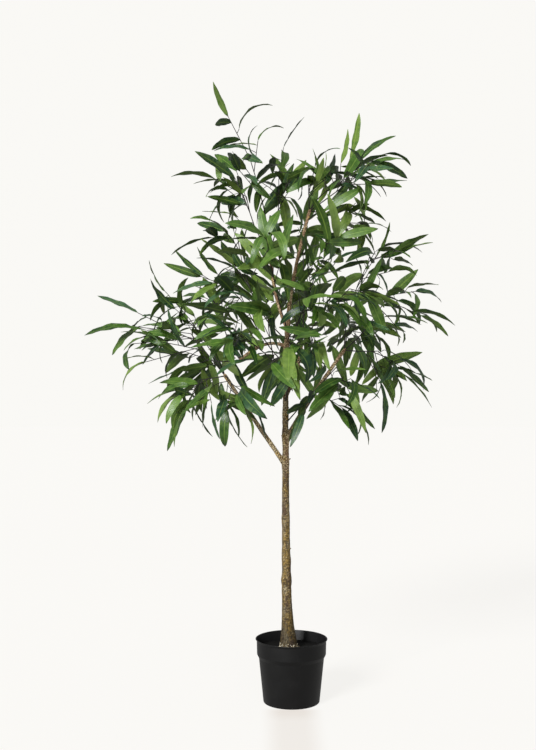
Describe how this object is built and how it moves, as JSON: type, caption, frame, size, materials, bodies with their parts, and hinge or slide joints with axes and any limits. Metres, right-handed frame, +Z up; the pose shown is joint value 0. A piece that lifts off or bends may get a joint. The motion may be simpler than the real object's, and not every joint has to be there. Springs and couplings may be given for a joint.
{
  "type": "artificial eucalyptus tree in pot",
  "caption": "Artificial eucalyptus tree with a slim leaning trunk and an open crown of long narrow leaves on wiry sprays, standing in a small tapered black pot.",
  "frame": {"origin": "centre of the pot's flat underside", "axes": "+Z up along the tree, -Y towards the front, +X to the right seen from the front"},
  "size_m": [0.8815, 0.7766, 1.4819],
  "materials": {
    "pot_plastic": "black moulded plastic with a faint satin sheen",
    "topping": "cast filling with a rough black surface",
    "bark": "olive-brown bark with fine streaks and grit at the foot",
    "foliage": "satin printed fabric leaves in several greens on thin dark wires"
  },
  "bodies": {
    "root": {"pot": "pot_plastic", "filling": "topping", "trunk": "bark", "left_bough": "bark", "right_bough": "bark", "drooping_bough": "bark", "back_bough": "bark", "right_leader": "bark", "left_leader": "bark", "far_left": "foliage", "left_arch": "foliage", "low_left": "foliage", "low_left_front": "foliage", "left_side": "foliage", "back_left": "foliage", "upper_far_left": "foliage", "front_left": "foliage", "mid_left": "foliage", "upper_left": "foliage", "side_left": "foliage", "top_left": "foliage", "top_centre": "foliage", "top_middle": "foliage", "top_right": "foliage", "far_top_right": "foliage", "upper_right": "foliage", "side_right": "foliage", "far_right": "foliage", "low_right": "foliage", "back_right": "foliage", "front_low_right": "foliage", "front_low": "foliage", "front_middle": "foliage", "front_right": "foliage", "front_upper": "foliage", "front_upper_right": "foliage", "inner_left": "foliage", "inner_right": "foliage", "back_low": "foliage", "back_middle": "foliage", "back_upper": "foliage"}
  },
  "joints": []
}
